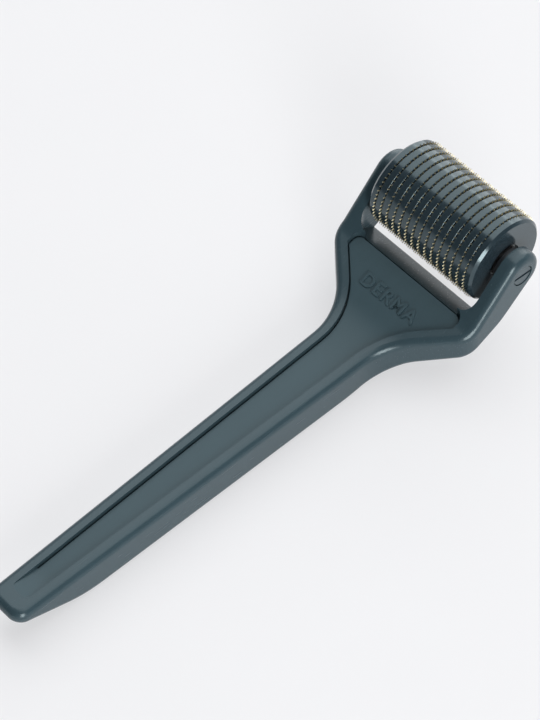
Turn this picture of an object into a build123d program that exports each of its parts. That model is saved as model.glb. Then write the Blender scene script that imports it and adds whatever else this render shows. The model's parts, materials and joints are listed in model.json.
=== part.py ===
"""Derma roller: a drum of needle discs that spins on an axle between the arms of a forked handle.

X runs along the axle, Y along the handle from its end towards the drum, and Z up. The handle lies on
its belly at Z = 0, and the origin is below the middle of the whole roller. Sizes are in millimetres.
"""

import os
from math import cos, radians, sin, tan

from build123d import *

# --- Overall sizes ---
total_length = 142.0  # from the handle's end to the needle tips
axle_height = 23.8  # the axle above the surface that the belly rests on
handle_thickness = 10.0  # belly to rim
end_width = 10.2  # handle width at its end
neck_width = 14.6  # handle width where the head starts to flare
edge_radius = 1.8  # rounding all round the handle and the arms
tip_rise = 6.9  # how far the belly lifts at the end
tip_length = 17.5  # over which the belly lifts
tip_radius = 26.0
tip_corner_radius = 3.2

# --- Drum and needles ---
row_count = 15
row_pitch = 2.0
needles_per_row = 60
drum_radius = 10.7
needle_height = 0.5  # tip above the drum's surface
needle_root_depth = 0.8  # how far the teeth reach below the drum's surface
needle_base_width = 0.42
disc_thickness = 0.25
ring_edge_radius = 0.25
cap_thickness = 1.9
cap_bevel = 0.6
cap_dish_depth = 0.6
cap_dish_radius = 4.4  # sunk middle that clears the bush's flange
hub_across_flats = 7.6
hub_clearance = 0.03  # from the hub to each ring

# --- Axle, bushes, washers and screws ---
axle_diameter = 3.2
axle_clearance = 0.05  # radial, to the bushes
hub_bore_clearance = 0.2  # radial, from the axle to the hub between the bushes
seat_clearance = 0.02  # radial, for parts pressed or held in bores
bush_diameter = 5.2
bush_length = 6.0
bush_flange_diameter = 7.0
bush_flange_thickness = 0.4
washer_diameter = 8.0
washer_thickness = 1.4
washer_play = 0.5  # between washer and bush flange
drum_shift = -0.3  # the drum rests a little to the left in its play
screw_head_diameter = 5.0
screw_head_thickness = 1.2
screw_head_clearance = 0.2
screw_head_sink = 0.15  # below the arm's outer face
screw_shank_diameter = 2.0
screw_shank_length = 5.9
screw_hole_depth = 6.0
screw_slot_width = 0.7
screw_slot_depth = 0.6
screw_slot_angle = -6.0

# --- Fork and head ---
arm_thickness = 3.7
arm_tilt = 41.0  # the arms' rise from the handle's line, in degrees
arm_top_tilt = 46.5  # rise of the arms' upper edge
arm_half_depth = 5.3
arm_end_radius = 5.2
knee_radius = 6.0  # plan view, outside of each knee
neck_radius = 16.0  # plan view, where the handle flares
flare_angle = 49.0  # plan view, from the handle's line
knee_back = 16.2  # knee corner behind the axle, in plan view
slope_angle = 20.0  # rise of the head's front face
slope_back = 13.5  # edge of the front face behind the axle
slope_drop = 8.4  # edge of the front face below the axle
slope_radius = 40.0
crook_radius = 6.0  # side view, front face to arm
belly_angle = 24.0  # rise of the head's back
belly_drop = 16.6  # the head's back below the axle, at the knee
belly_radius = 40.0
heel_radius = 14.0
nose_radius = 40.0  # side view, the head's slightly rounded front wall under the drum
nose_angle = 29.0  # its fall where it starts
nose_step = 0.3  # its start below the panel's face
notch_corner_radius = 3.0

# --- Front panel ---
rim_width = 1.0  # flat rim between the body's rounding and the panel
panel_gap = 0.4
panel_sink = 1.0  # the panel's face below the rim
panel_thickness = 1.6
panel_side_gap = 1.0  # from the panel to the arms' inner faces
panel_start = 4.6  # from the handle's end
panel_ramp = 7.0  # over which the panel sinks below the rim
panel_ramp_radius = 20.0
panel_corner_radius = 1.6
panel_front_radius = 1.8

# --- Hollows under the panel ---
cell_depth = 3.2
cell_ledge = 1.0
cell_length = 8.0
cell_land = 4.0
cell_start = 16.0  # from the handle's end
cell_corner_radius = 0.7
pin_diameter = 1.6
pin_length = 2.6
pin_hole_depth = 3.0

# --- Worked-out places ---
tip_reach = drum_radius + needle_height
axle_y = total_length / 2 - tip_reach
end_y = -total_length / 2
row_span = (row_count - 1) * row_pitch
drum_length = row_span + disc_thickness + 2 * cap_thickness
side_gap = washer_thickness + washer_play + bush_flange_thickness - cap_dish_depth
fork_gap = drum_length + 2 * side_gap
fork_width = fork_gap + 2 * arm_thickness
screw_top = fork_width / 2 - screw_head_sink
screw_floor = screw_top - screw_head_thickness
knee_y = axle_y - knee_back
neck_y = knee_y - (fork_width - neck_width) / 2 / tan(radians(flare_angle))
front_y = axle_y - slope_back
front_z = axle_height - slope_drop
rim_front_z = front_z + panel_sink
bend_y = front_y - (rim_front_z - handle_thickness) / tan(radians(slope_angle))
floor_z = handle_thickness - panel_sink - panel_thickness
ramp_end_y = end_y + panel_start + panel_ramp
cell_pitch = cell_length + cell_land
cell_count = int((bend_y - end_y - cell_start + cell_land) // cell_pitch)
over = 30.0  # how far cutting bodies reach past what they cut
sky = axle_height + over  # height that every cutting body reaches
tilt_cos = cos(radians(arm_tilt))
tilt_sin = sin(radians(arm_tilt))


def arm_point(along, across):
    """Point in the YZ plane, measured from the axle along and across an arm."""
    return (
        axle_y + along * tilt_cos - across * tilt_sin,
        axle_height + along * tilt_sin + across * tilt_cos,
    )


def meeting(point, angle, other, other_angle):
    """Where a line through point at an angle meets a line through other at other_angle."""
    slope = tan(radians(angle))
    other_slope = tan(radians(other_angle))
    y = (other[1] - point[1] + slope * point[0] - other_slope * other[0]) / (slope - other_slope)
    return (y, point[1] + slope * (y - point[0]))


crook = meeting(arm_point(0, arm_half_depth), arm_top_tilt, (front_y, rim_front_z), slope_angle)
arm_top_end = meeting(
    arm_point(0, arm_half_depth), arm_top_tilt, arm_point(arm_half_depth, 0), arm_tilt + 90
)
head_back = (knee_y, axle_height - belly_drop)
heel = meeting(arm_point(0, -arm_half_depth), arm_tilt, head_back, belly_angle)
belly_bend_y = head_back[0] - head_back[1] / tan(radians(belly_angle))


def face_height(y):
    """Height of the head's sloping rim at y."""
    return rim_front_z + (y - front_y) * tan(radians(slope_angle))


nose_start = (front_y + panel_gap, front_z - nose_step)
nose_middle = (
    nose_start[0] - nose_radius * sin(radians(nose_angle)),
    nose_start[1] - nose_radius * cos(radians(nose_angle)),
)


def handle_half(y):
    """Half of the handle's width at y, between its end and the neck."""
    return (end_width + (neck_width - end_width) * (y - end_y) / (neck_y - end_y)) / 2


def face_line(drop, y_end):
    """Points along the front face, drop below the rim, which start flush and sink over the ramp."""
    start_y = end_y + panel_start
    low = handle_thickness - drop
    return [
        (start_y, low + panel_sink),
        (start_y + panel_ramp, low),
        (bend_y, low),
        (y_end, face_height(y_end) - drop),
    ]


def across(x):
    """Plane square to the axle at x, with its origin on the axle."""
    return Plane(origin=(x, axle_y, axle_height), x_dir=(0, 1, 0), z_dir=(1, 0, 0))


along_axle = Plane(origin=(0, axle_y, axle_height), x_dir=(1, 0, 0), z_dir=(0, 0, 1))
axle_axis = Axis((0, axle_y, axle_height), (1, 0, 0))
sides = {"left": -1, "right": 1}
line_radii = [panel_ramp_radius, slope_radius]
cell_places = [end_y + cell_start + cell_length / 2 + index * cell_pitch for index in range(cell_count)]
pin_places = [(0, y + cell_pitch / 2) for y in cell_places[:-1]]


def finish(part, name):
    """Label a piece and write it as parts/NAME.step."""
    part.label = name
    export_step(part, f"parts/{name}.step")


os.makedirs("parts", exist_ok=True)

# --- Outlines shared by the body and the front panel ---
with BuildSketch(Plane.YZ) as side_outline:
    with BuildLine():
        FilletPolyline(
            arm_point(arm_half_depth, -arm_half_depth),
            heel,
            (belly_bend_y, 0),
            (end_y + tip_length, 0),
            (end_y, tip_rise),
            (end_y, handle_thickness),
            (bend_y, handle_thickness),
            crook,
            arm_top_end,
            radius=[
                arm_end_radius,
                heel_radius,
                belly_radius,
                tip_radius,
                0,
                0,
                slope_radius,
                crook_radius,
                arm_end_radius,
            ],
            close=True,
        )
    make_face()

with BuildSketch() as plan_outline:
    with BuildLine():
        FilletPolyline(
            (0, end_y),
            (end_width / 2, end_y),
            (neck_width / 2, neck_y),
            (fork_width / 2, knee_y),
            (fork_width / 2, axle_y + over),
            (0, axle_y + over),
            radius=[tip_corner_radius, neck_radius, knee_radius, 0],
        )
        mirror(about=Plane.YZ)
    make_face()


def panel_outline(gap):
    """Plan outline of the panel, grown by gap on every side."""
    half = fork_gap / 2 - panel_side_gap - panel_gap + gap
    start_y = end_y + panel_start + panel_gap - gap
    end = front_y + gap
    with BuildSketch() as outline:
        add(plan_outline.sketch)
        offset(amount=gap - edge_radius - rim_width - panel_gap, mode=Mode.REPLACE)
        with Locations((0, (start_y + end) / 2)):
            Rectangle(2 * half, end - start_y, mode=Mode.INTERSECT)
        fillet(outline.vertices().group_by(Axis.Y)[-1], panel_front_radius + gap)
        fillet(outline.vertices().group_by(Axis.Y)[0], panel_corner_radius)
    return outline.sketch


# --- Recess for the panel ---
with BuildPart() as recess_body:
    floor_line = face_line(panel_sink + panel_thickness, front_y + over)
    with BuildSketch(Plane.YZ):
        with BuildLine():
            FilletPolyline(*floor_line, radius=line_radii)
            Polyline(
                floor_line[-1],
                (floor_line[-1][0], sky),
                (floor_line[0][0] - panel_gap, sky),
                (floor_line[0][0] - panel_gap, floor_line[0][1]),
                floor_line[0],
            )
        make_face()
    extrude(amount=fork_width, both=True)
    extrude(panel_outline(panel_gap), amount=sky, mode=Mode.INTERSECT)

# --- Notch for the drum ---
with BuildPart() as notch:
    with BuildSketch(Plane.YZ):
        with Locations((nose_start[0], 0)):
            Rectangle(2 * over, sky, align=Align.MIN)
        with Locations(nose_middle):
            Circle(nose_radius, mode=Mode.SUBTRACT)
    extrude(amount=fork_gap / 2, both=True)
    with BuildSketch():
        with Locations((0, nose_start[0] + over)):
            RectangleRounded(fork_gap, 2 * over, notch_corner_radius)
    extrude(amount=sky, mode=Mode.INTERSECT)

# --- Handle body ---
with BuildPart() as handle_body:
    extrude(side_outline.sketch, amount=fork_width / 2, both=True)
    extrude(plan_outline.sketch, amount=sky, mode=Mode.INTERSECT)
    walls = handle_body.faces().filter_by(lambda face: abs(face.normal_at().Z) < 0.01)
    fillet(walls.edges().filter_by(Axis.Z, reverse=True), radius=edge_radius)
    # The notch for the drum, in front of the head's front wall.
    add(notch.part, mode=Mode.SUBTRACT)
    # The recess that the panel is let into, and the cells that hollow the handle under it.
    add(recess_body.part, mode=Mode.SUBTRACT)
    for middle in cell_places:
        width = 2 * (handle_half(middle) - edge_radius - rim_width - panel_gap - cell_ledge)
        with BuildSketch(Plane.XY.offset(floor_z)):
            with Locations((0, middle)):
                RectangleRounded(width, cell_length, cell_corner_radius)
        extrude(amount=-cell_depth, mode=Mode.SUBTRACT)
    with BuildSketch(Plane.XY.offset(floor_z)):
        with Locations(*pin_places):
            Circle(pin_diameter / 2 + seat_clearance)
    extrude(amount=-pin_hole_depth, mode=Mode.SUBTRACT)
    # Each arm is bored for the axle and counterbored for its screw.
    for side in sides.values():
        outside = Plane(
            origin=(side * fork_width / 2, axle_y, axle_height), x_dir=(0, 1, 0), z_dir=(side, 0, 0)
        )
        with Locations(outside):
            CounterBoreHole(
                radius=axle_diameter / 2 + seat_clearance,
                counter_bore_radius=screw_head_diameter / 2 + screw_head_clearance,
                counter_bore_depth=screw_head_sink + screw_head_thickness,
                depth=2 * arm_thickness,
            )

finish(handle_body.part, "handle_body")

# --- Front panel ---
with BuildPart() as front_panel:
    top = face_line(panel_sink, front_y)
    bottom = face_line(panel_sink + panel_thickness, front_y)
    with BuildSketch(Plane.YZ) as band:
        with BuildLine():
            FilletPolyline(*top, radius=line_radii)
            FilletPolyline(*bottom, radius=line_radii)
            Line(top[0], bottom[0])
            Line(top[-1], bottom[-1])
        make_face()
    extrude(amount=fork_width, both=True)
    with BuildSketch():
        add(panel_outline(panel_gap))
        with Locations((0, ramp_end_y)):
            Rectangle(fork_width, total_length, align=(Align.CENTER, Align.MAX), mode=Mode.INTERSECT)
        add(panel_outline(0))
    extrude(amount=sky, mode=Mode.INTERSECT)
    with BuildSketch(Plane.XY.offset(floor_z)):
        with Locations(*pin_places):
            Circle(pin_diameter / 2)
    extrude(amount=-pin_length)

finish(front_panel.part, "front_panel")

# --- Axle, washers and screws ---
axle_length = 2 * (screw_floor - seat_clearance)
with BuildPart() as axle:
    with BuildSketch(across(-axle_length / 2)):
        Circle(axle_diameter / 2)
    extrude(amount=axle_length)
    with BuildSketch(across(-axle_length / 2)):
        Circle(screw_shank_diameter / 2 + seat_clearance)
    extrude(amount=screw_hole_depth, mode=Mode.SUBTRACT)
    with BuildSketch(across(axle_length / 2)):
        Circle(screw_shank_diameter / 2 + seat_clearance)
    extrude(amount=-screw_hole_depth, mode=Mode.SUBTRACT)

finish(axle.part, "axle")

for name, side in sides.items():
    with BuildPart() as washer:
        with BuildSketch(across(side * fork_gap / 2)):
            Circle(washer_diameter / 2)
            Circle(axle_diameter / 2 + axle_clearance, mode=Mode.SUBTRACT)
        extrude(amount=-side * washer_thickness)
    finish(washer.part, f"washer_{name}")

    with BuildPart() as screw:
        with BuildSketch(across(side * screw_top)):
            Circle(screw_head_diameter / 2)
        extrude(amount=-side * screw_head_thickness)
        with BuildSketch(across(side * screw_floor)):
            Circle(screw_shank_diameter / 2)
        extrude(amount=-side * screw_shank_length)
        with BuildSketch(across(side * screw_top)):
            Rectangle(2 * screw_head_diameter, screw_slot_width, rotation=screw_slot_angle)
        extrude(amount=-side * screw_slot_depth, mode=Mode.SUBTRACT)
    finish(screw.part, f"axle_screw_{name}")

# --- Drum ---
hub_length = drum_length - 2 * cap_dish_depth
with BuildPart() as hub:
    with BuildSketch(across(drum_shift - hub_length / 2)):
        RegularPolygon(hub_across_flats / 2, 6, major_radius=False)
        Circle(axle_diameter / 2 + hub_bore_clearance, mode=Mode.SUBTRACT)
    extrude(amount=hub_length)
    for side in sides.values():
        with BuildSketch(across(drum_shift + side * hub_length / 2)):
            Circle(bush_diameter / 2 + seat_clearance)
        extrude(amount=-side * bush_length, mode=Mode.SUBTRACT)

finish(hub.part, "drum_hub")


def hub_hole():
    """The hexagonal hole through every ring of the drum."""
    RegularPolygon(hub_across_flats / 2 + hub_clearance, 6, major_radius=False, mode=Mode.SUBTRACT)


for name, side in sides.items():
    with BuildPart() as bush:
        with BuildSketch(across(drum_shift + side * hub_length / 2)):
            Circle(bush_flange_diameter / 2)
        extrude(amount=side * bush_flange_thickness)
        with BuildSketch(across(drum_shift + side * hub_length / 2)):
            Circle(bush_diameter / 2)
        extrude(amount=-side * bush_length)
        with BuildSketch(across(drum_shift)):
            Circle(axle_diameter / 2 + axle_clearance)
        extrude(amount=drum_length, both=True, mode=Mode.SUBTRACT)
    finish(bush.part, f"bush_{name}")

    inner = drum_shift + side * (drum_length / 2 - cap_thickness)
    outer = drum_shift + side * drum_length / 2
    with BuildPart() as cap:
        with BuildSketch(along_axle):
            Polygon(
                (inner, 0),
                (inner, drum_radius),
                (outer - side * cap_bevel, drum_radius),
                (outer, drum_radius - cap_bevel),
                (outer, cap_dish_radius),
                (outer - side * cap_dish_depth, cap_dish_radius),
                (outer - side * cap_dish_depth, 0),
                align=None,
            )
        revolve(axis=axle_axis)
        with BuildSketch(across(drum_shift)):
            RegularPolygon(hub_across_flats / 2 + hub_clearance, 6, major_radius=False)
        extrude(amount=drum_length, both=True, mode=Mode.SUBTRACT)
    finish(cap.part, f"drum_cap_{name}")


def polar(radius, angle):
    """Point at a radius and an angle in radians."""
    return (radius * cos(angle), radius * sin(angle))


first_row = drum_shift - row_span / 2
root_radius = drum_radius - needle_root_depth
half_base = needle_base_width / 2 / root_radius
pitch_angle = radians(360 / needles_per_row)
for row in range(row_count):
    turn = pitch_angle / 2 * (row % 2)
    outline = []
    for needle in range(needles_per_row):
        middle = turn + needle * pitch_angle
        outline.append(polar(root_radius, middle - half_base))
        outline.append(polar(tip_reach, middle))
        outline.append(polar(root_radius, middle + half_base))
    with BuildPart() as disc:
        with BuildSketch(across(first_row + row * row_pitch - disc_thickness / 2)):
            Polygon(*outline, align=None)
            hub_hole()
        extrude(amount=disc_thickness)
    finish(disc.part, f"needle_disc_{row + 1:02d}")

for gap in range(row_count - 1):
    with BuildPart() as spacer:
        with BuildSketch(across(first_row + gap * row_pitch + disc_thickness / 2)):
            Circle(drum_radius)
            hub_hole()
        extrude(amount=row_pitch - disc_thickness)
        rims = spacer.edges().filter_by(GeomType.CIRCLE)
        fillet(rims, ring_edge_radius)
    finish(spacer.part, f"spacer_ring_{gap + 1:02d}")
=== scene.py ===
"""Looks of the derma roller: materials, a generic raised mark, a pale table and soft studio light."""

import json
from math import cos, pi, radians, sin

import bpy
from mathutils import Matrix, Vector


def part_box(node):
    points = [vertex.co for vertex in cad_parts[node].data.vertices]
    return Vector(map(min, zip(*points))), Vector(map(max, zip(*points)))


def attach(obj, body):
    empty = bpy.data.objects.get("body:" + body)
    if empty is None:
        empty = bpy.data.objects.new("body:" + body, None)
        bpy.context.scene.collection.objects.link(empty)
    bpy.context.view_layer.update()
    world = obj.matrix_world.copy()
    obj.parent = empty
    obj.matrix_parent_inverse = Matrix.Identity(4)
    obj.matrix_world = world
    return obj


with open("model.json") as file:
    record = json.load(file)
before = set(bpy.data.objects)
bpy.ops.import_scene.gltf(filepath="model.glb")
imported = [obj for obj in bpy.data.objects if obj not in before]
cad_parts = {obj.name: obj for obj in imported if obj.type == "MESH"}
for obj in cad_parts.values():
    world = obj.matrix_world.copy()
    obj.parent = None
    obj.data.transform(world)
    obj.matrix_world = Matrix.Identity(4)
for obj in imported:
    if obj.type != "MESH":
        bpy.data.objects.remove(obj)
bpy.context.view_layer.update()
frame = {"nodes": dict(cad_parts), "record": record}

MM = 0.001

# --- Camera ---
VIEW_AZIMUTH = 43.3
VIEW_ELEVATION = 52.0
VIEW_ROLL = 2.5
VIEW_DISTANCE = 0.700
FRAME_HEIGHT = 0.1591  # seen at the drum's distance
SENSOR = 24.0
DRUM_RIGHT_OF_MIDDLE = 0.2542  # in frame heights
DRUM_ABOVE_MIDDLE = 0.1958
DRUM_SHIFT = -0.3 * MM

# --- The raised mark on the head ---
MARK_TEXT = "DERMA"
MARK_HEIGHT = 0.25 * MM
MARK_SIZE = 4.6 * MM
MARK_BEVEL = 0.06 * MM
MARK_GROWTH = 0.05 * MM  # outwards from the letters' own outline
MARK_SPACING = 1.15
MARK_BACK = 6.8 * MM  # from the panel's front edge, along its slope
HEAD_SLOPE = radians(20.0)

axle_low, axle_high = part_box("axle")
axle_middle = (axle_low + axle_high) / 2
panel_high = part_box("front_panel")[1]


# --- Shader helpers ---
WHITE = (1.0, 1.0, 1.0, 1.0)


def new_material(name):
    """Material with an emptied node tree and its output, ready for shading."""
    material = bpy.data.materials.new(name)
    material.use_nodes = True
    tree = material.node_tree
    tree.nodes.clear()
    return material, tree


def add_node(tree, kind, **values):
    """Node of a kind, with attributes by name and inputs by name in a dict called inputs."""
    inputs = values.pop("inputs", {})
    node = tree.nodes.new(kind)
    for key, value in values.items():
        setattr(node, key, value)
    for key, value in inputs.items():
        node.inputs[key].default_value = value
    return node


def noise(tree, coords, scale, detail=4.0, roughness=0.55, stretch=(1, 1, 1)):
    """Noise factor in the object's own coordinates, in features per metre, stretched by axis."""
    mapping = add_node(tree, "ShaderNodeMapping", inputs={"Scale": stretch})
    tree.links.new(coords, mapping.inputs["Vector"])
    texture = add_node(
        tree,
        "ShaderNodeTexNoise",
        inputs={"Scale": scale, "Detail": detail, "Roughness": roughness},
    )
    tree.links.new(mapping.outputs["Vector"], texture.inputs["Vector"])
    return texture.outputs["Fac"]


def ramp(tree, factor, stops):
    """Colour ramp over a factor, from (position, colour) stops."""
    node = add_node(tree, "ShaderNodeValToRGB")
    elements = node.color_ramp.elements
    while len(elements) < len(stops):
        elements.new(0.5)
    for element, (position, colour) in zip(elements, stops):
        element.position = position
        element.color = colour
    tree.links.new(factor, node.inputs["Fac"])
    return node.outputs["Color"]


def grey(value):
    """Grey colour of a value."""
    return (value, value, value, 1.0)


def shade(colour, factor):
    """Colour made lighter or darker by a factor."""
    return tuple(channel * factor for channel in colour) + (1.0,)


def multiply(tree, one, other):
    """Product of two colours."""
    node = add_node(tree, "ShaderNodeMix", data_type="RGBA", blend_type="MULTIPLY")
    node.inputs[0].default_value = 1.0
    tree.links.new(one, node.inputs[6])
    tree.links.new(other, node.inputs[7])
    return node.outputs[2]


def bumped(tree, layers, edge_radius, samples=6):
    """Normal from bump layers of (height, distance), over edges that are softened by a radius."""
    normal = None
    if edge_radius:
        bevel = add_node(tree, "ShaderNodeBevel", samples=samples)
        bevel.inputs["Radius"].default_value = edge_radius
        normal = bevel.outputs["Normal"]
    for height, distance in layers:
        bump = add_node(tree, "ShaderNodeBump")
        bump.inputs["Strength"].default_value = 1.0
        bump.inputs["Distance"].default_value = distance
        tree.links.new(height, bump.inputs["Height"])
        if normal is not None:
            tree.links.new(normal, bump.inputs["Normal"])
        normal = bump.outputs["Normal"]
    return normal


def principled(tree, colour, roughness, normal, inputs=None):
    """Principled shader with linked colour, roughness and normal, on the material's output."""
    shader = add_node(tree, "ShaderNodeBsdfPrincipled", inputs=inputs or {})
    output = add_node(tree, "ShaderNodeOutputMaterial")
    tree.links.new(colour, shader.inputs["Base Color"])
    tree.links.new(roughness, shader.inputs["Roughness"])
    tree.links.new(normal, shader.inputs["Normal"])
    tree.links.new(shader.outputs["BSDF"], output.inputs["Surface"])
    return shader


def plastic(name, colour, gloss, grain_depth, edge_radius, specular=0.5, tint=WHITE):
    """Moulded plastic: fine grain, faint flow marks, rubbed patches and hairline scratches."""
    material, tree = new_material(name)
    coords = add_node(tree, "ShaderNodeTexCoord").outputs["Object"]
    clouds = noise(tree, coords, 90.0, 5.0, 0.6)
    flow = noise(tree, coords, 260.0, 3.0, 0.5, stretch=(3.0, 0.25, 1.0))
    grain = noise(tree, coords, 5200.0, 2.0, 0.5)
    scratches = noise(tree, coords, 900.0, 2.0, 0.4, stretch=(6.0, 0.12, 2.0))
    base = ramp(tree, clouds, [(0.30, shade(colour, 0.96)), (0.70, shade(colour, 1.04))])
    streaks = ramp(tree, flow, [(0.35, grey(0.97)), (0.65, grey(1.0))])
    base = multiply(tree, base, streaks)
    rubbed = ramp(tree, clouds, [(0.35, grey(gloss * 0.95)), (0.75, grey(gloss * 1.05))])
    hairlines = ramp(tree, scratches, [(0.66, grey(1.0)), (0.72, grey(1.12))])
    rough = multiply(tree, rubbed, hairlines)
    layers = [(grain, grain_depth), (flow, grain_depth * 0.8)]
    normal = bumped(tree, layers, edge_radius)
    inputs = {"Specular IOR Level": specular, "Specular Tint": tint}
    principled(tree, base, rough, normal, inputs=inputs)
    return material


def metal(name, colour, gloss, grain_depth, stretch, edge_radius, spread=0.12):
    """Worked metal: brushed or turned grain, tarnish and worn highlights."""
    material, tree = new_material(name)
    coords = add_node(tree, "ShaderNodeTexCoord").outputs["Object"]
    tarnish = noise(tree, coords, 1400.0, 4.0, 0.6)
    lines = noise(tree, coords, 2600.0, 3.0, 0.5, stretch=stretch)
    base = ramp(
        tree,
        tarnish,
        [(0.30, shade(colour, 1.0 - spread)), (0.72, shade(colour, 1.0 + spread * 0.5))],
    )
    rough = ramp(tree, lines, [(0.30, grey(gloss * 0.8)), (0.70, grey(gloss * 1.25))])
    normal = bumped(tree, [(lines, grain_depth)], edge_radius)
    principled(tree, base, rough, normal, inputs={"Metallic": 1.0})
    return material


# --- Materials of the record's slots ---
SLATE = (0.034, 0.058, 0.070)
PANEL_SLATE = (0.035, 0.063, 0.076)
DRUM_SLATE = (0.020, 0.032, 0.040)
DRUM_TINT = (0.76, 0.95, 1.0, 1.0)
BODY_TINT = (0.84, 0.97, 1.0, 1.0)

materials = {
    "body_plastic": plastic("body_plastic", SLATE, 0.26, 0.002 * MM, 0.0, 0.4, BODY_TINT),
    "panel_plastic": plastic("panel_plastic", PANEL_SLATE, 0.32, 0.002 * MM, 0.0, 0.32, BODY_TINT),
    "drum_plastic": plastic("drum_plastic", DRUM_SLATE, 0.16, 0.001 * MM, 0.0, 0.7, DRUM_TINT),
    "hub_plastic": plastic("hub_plastic", (0.03, 0.033, 0.036), 0.5, 0.003 * MM, 0.0),
    "washer_plastic": plastic("washer_plastic", (0.03, 0.035, 0.04), 0.4, 0.003 * MM, 0.1 * MM),
    "screw_steel": plastic("screw_steel", SLATE, 0.30, 0.002 * MM, 0.12 * MM),
    "needle_gold": metal(
        "needle_gold", (0.90, 0.80, 0.53), 0.40, 0.002 * MM, (1.0, 1.0, 1.0), 0.0
    ),
    "axle_steel": metal("axle_steel", (0.60, 0.61, 0.62), 0.30, 0.002 * MM, (9, 1, 1), 0.05 * MM),
    # The bush's near-black colour is painted shade: it stands for the dark hollow around the axle,
    # between the arm and the drum's end cap.
    "bush_plastic": plastic("bush_plastic", (0.012, 0.012, 0.013), 0.45, 0.003 * MM, 0.0),
}

for row in frame["record"]["subparts"]:
    mesh = frame["nodes"][row["node"]].data
    mesh.materials.clear()
    mesh.materials.append(materials[row["material_slot"]])


# --- The raised mark ---
def raised_mark():
    """Generic raised lettering across the head of the front panel, which stands for a maker's."""
    curve = bpy.data.curves.new("head_mark", "FONT")
    curve.body = MARK_TEXT
    curve.size = MARK_SIZE
    curve.align_x = "CENTER"
    curve.align_y = "CENTER"
    curve.extrude = MARK_HEIGHT
    curve.bevel_depth = MARK_BEVEL
    curve.offset = MARK_GROWTH
    curve.bevel_resolution = 2
    curve.space_character = MARK_SPACING
    mark = bpy.data.objects.new("head_mark", curve)
    bpy.context.scene.collection.objects.link(mark)
    y = panel_high.y - MARK_BACK * cos(HEAD_SLOPE)
    z = panel_high.z - MARK_BACK * sin(HEAD_SLOPE)
    tilt = Matrix.Rotation(HEAD_SLOPE, 4, "X")
    mark.matrix_world = Matrix.Translation((0.0, y, z)) @ tilt
    bpy.context.view_layer.update()
    depsgraph = bpy.context.evaluated_depsgraph_get()
    mesh = bpy.data.meshes.new_from_object(mark.evaluated_get(depsgraph))
    solid = bpy.data.objects.new("raised_mark", mesh)
    solid.matrix_world = mark.matrix_world
    bpy.context.scene.collection.objects.link(solid)
    bpy.data.objects.remove(mark)
    solid.data.materials.clear()
    solid.data.materials.append(materials["panel_plastic"])
    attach(solid, "handle")


raised_mark()


# --- Table ---
TABLE_LEVEL = (0.88, 0.88, 0.896, 1.0)
TABLE_EVEN_PART = 0.6  # share of that level, the rest being lit and shadowed
TABLE_SIZE = 4.0
TABLE_DROP = 0.02 * MM  # below the belly, so that the two don't share a plane


def table_material():
    """White table with a faint mottle, partly at an even level to the camera and in reflections."""
    material, tree = new_material("table")
    coords = add_node(tree, "ShaderNodeTexCoord").outputs["Object"]
    mottle = noise(tree, coords, 14.0, 4.0, 0.6)
    base = ramp(tree, mottle, [(0.3, (0.79, 0.79, 0.80, 1)), (0.7, (0.82, 0.82, 0.83, 1))])
    rough = ramp(tree, mottle, [(0.3, grey(0.55)), (0.7, grey(0.65))])
    grain = noise(tree, coords, 900.0, 3.0, 0.5)
    normal = bumped(tree, [(grain, 0.01 * MM)], 0.0)
    shader = principled(tree, base, rough, normal, inputs={"Specular IOR Level": 0.2})
    even = add_node(tree, "ShaderNodeEmission", inputs={"Color": TABLE_LEVEL, "Strength": 1.0})
    path = add_node(tree, "ShaderNodeLightPath")
    seen = add_node(tree, "ShaderNodeMath", operation="MAXIMUM")
    tree.links.new(path.outputs["Is Camera Ray"], seen.inputs[0])
    tree.links.new(path.outputs["Is Glossy Ray"], seen.inputs[1])
    part = add_node(tree, "ShaderNodeMath", operation="MULTIPLY")
    part.inputs[1].default_value = TABLE_EVEN_PART
    tree.links.new(seen.outputs[0], part.inputs[0])
    mix = add_node(tree, "ShaderNodeMixShader")
    tree.links.new(part.outputs[0], mix.inputs[0])
    tree.links.new(shader.outputs["BSDF"], mix.inputs[1])
    tree.links.new(even.outputs["Emission"], mix.inputs[2])
    output = next(node for node in tree.nodes if node.type == "OUTPUT_MATERIAL")
    tree.links.new(mix.outputs["Shader"], output.inputs["Surface"])
    return material


bpy.ops.mesh.primitive_plane_add(size=TABLE_SIZE, location=(0, 0, -TABLE_DROP))
table = bpy.context.object
table.name = "table"
table.data.materials.append(table_material())


# --- Light: a large lamp overhead, one behind and a small bright one on the right ---
def area_light(name, place, target, width, height, radiance, colour=(1, 1, 1)):
    """Soft rectangular lamp of a radiance, which faces a target."""
    data = bpy.data.lights.new(name, "AREA")
    data.shape = "RECTANGLE"
    data.size = width
    data.size_y = height
    data.energy = radiance * width * height * pi
    data.color = colour
    lamp = bpy.data.objects.new(name, data)
    lamp.location = place
    direction = Vector(target) - Vector(place)
    lamp.rotation_mode = "QUATERNION"
    lamp.rotation_quaternion = direction.to_track_quat("-Z", "Y")
    bpy.context.scene.collection.objects.link(lamp)
    return lamp


area_light("overhead", (-0.45, 0.87, 1.0), (-0.45, 0.87, 0.0), 2.1, 1.94, 1.75)
area_light("back", (-1.3, 2.2, 0.70), (0.0, 0.05, 0.02), 2.6, 1.5, 2.4)
area_light("right", (0.88, -0.42, 0.36), (0.0, 0.05, 0.02), 0.40, 0.64, 12.0)


DARK_SKY = (0.02, 0.022, 0.025, 1.0)
PALE_SKY = (0.40, 0.43, 0.46, 1.0)


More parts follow.
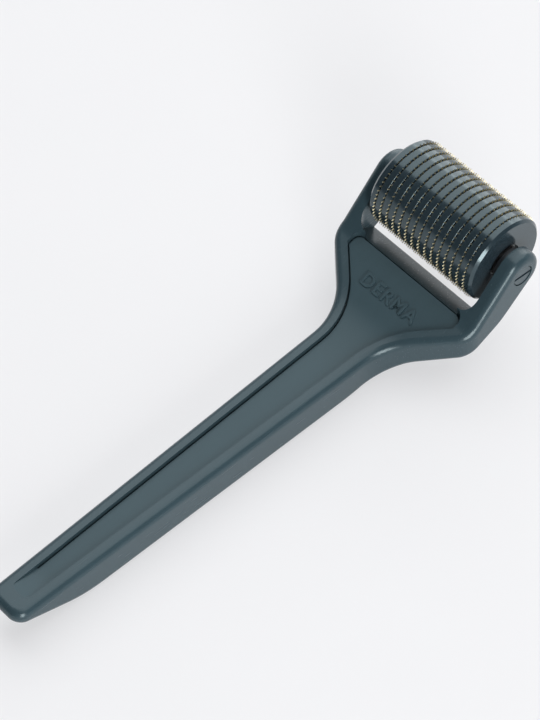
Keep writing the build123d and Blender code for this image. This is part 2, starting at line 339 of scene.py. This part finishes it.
def surround():
    """Dim surround in front and on the right, pale behind, with a pale horizon all round."""
    world = bpy.data.worlds.new("surround")
    bpy.context.scene.world = world
    world.use_nodes = True
    tree = world.node_tree
    tree.nodes.clear()
    direction = add_node(tree, "ShaderNodeTexCoord").outputs["Generated"]
    parts = add_node(tree, "ShaderNodeSeparateXYZ")
    tree.links.new(direction, parts.inputs["Vector"])
    aside = add_node(tree, "ShaderNodeMath", operation="MULTIPLY_ADD")
    aside.inputs[1].default_value = -0.8
    tree.links.new(parts.outputs["X"], aside.inputs[0])
    tree.links.new(parts.outputs["Y"], aside.inputs[2])
    sky = ramp(tree, aside.outputs[0], [(0.0, DARK_SKY), (0.5, PALE_SKY)])
    height = add_node(tree, "ShaderNodeMath", operation="ABSOLUTE")
    tree.links.new(parts.outputs["Z"], height.inputs[0])
    horizon = ramp(tree, height.outputs[0], [(0.02, grey(0.6)), (0.06, grey(0.0))])
    both = add_node(tree, "ShaderNodeMix", data_type="RGBA", blend_type="ADD")
    both.inputs[0].default_value = 1.0
    tree.links.new(sky, both.inputs[6])
    tree.links.new(horizon, both.inputs[7])
    background = add_node(tree, "ShaderNodeBackground", inputs={"Strength": 1.0})
    tree.links.new(both.outputs[2], background.inputs["Color"])
    output = add_node(tree, "ShaderNodeOutputWorld")
    tree.links.new(background.outputs["Background"], output.inputs["Surface"])


surround()


# --- Camera ---
def photo_camera():
    """Camera that looks at the drum from the front right, rolled a little, with a shifted lens."""
    azimuth = radians(VIEW_AZIMUTH)
    elevation = radians(VIEW_ELEVATION)
    roll = radians(VIEW_ROLL)
    back = Vector(
        (sin(azimuth) * cos(elevation), -cos(azimuth) * cos(elevation), sin(elevation))
    )
    level = Vector((cos(azimuth), sin(azimuth), 0.0))
    upright = back.cross(level)
    right = level * cos(roll) + upright * sin(roll)
    up = upright * cos(roll) - level * sin(roll)
    target = Vector((DRUM_SHIFT, axle_middle.y, axle_middle.z))
    data = bpy.data.cameras.new("camera")
    data.sensor_fit = "VERTICAL"
    data.sensor_height = SENSOR
    data.lens = SENSOR * VIEW_DISTANCE / FRAME_HEIGHT
    data.shift_x = -DRUM_RIGHT_OF_MIDDLE
    data.shift_y = -DRUM_ABOVE_MIDDLE
    data.clip_start = 0.01
    data.dof.use_dof = False
    camera = bpy.data.objects.new("camera", data)
    turn = Matrix((right, up, back)).transposed().to_4x4()
    camera.matrix_world = Matrix.Translation(target + back * VIEW_DISTANCE) @ turn
    bpy.context.scene.collection.objects.link(camera)
    bpy.context.scene.camera = camera


photo_camera()
bpy.context.scene.view_settings.view_transform = "Standard"
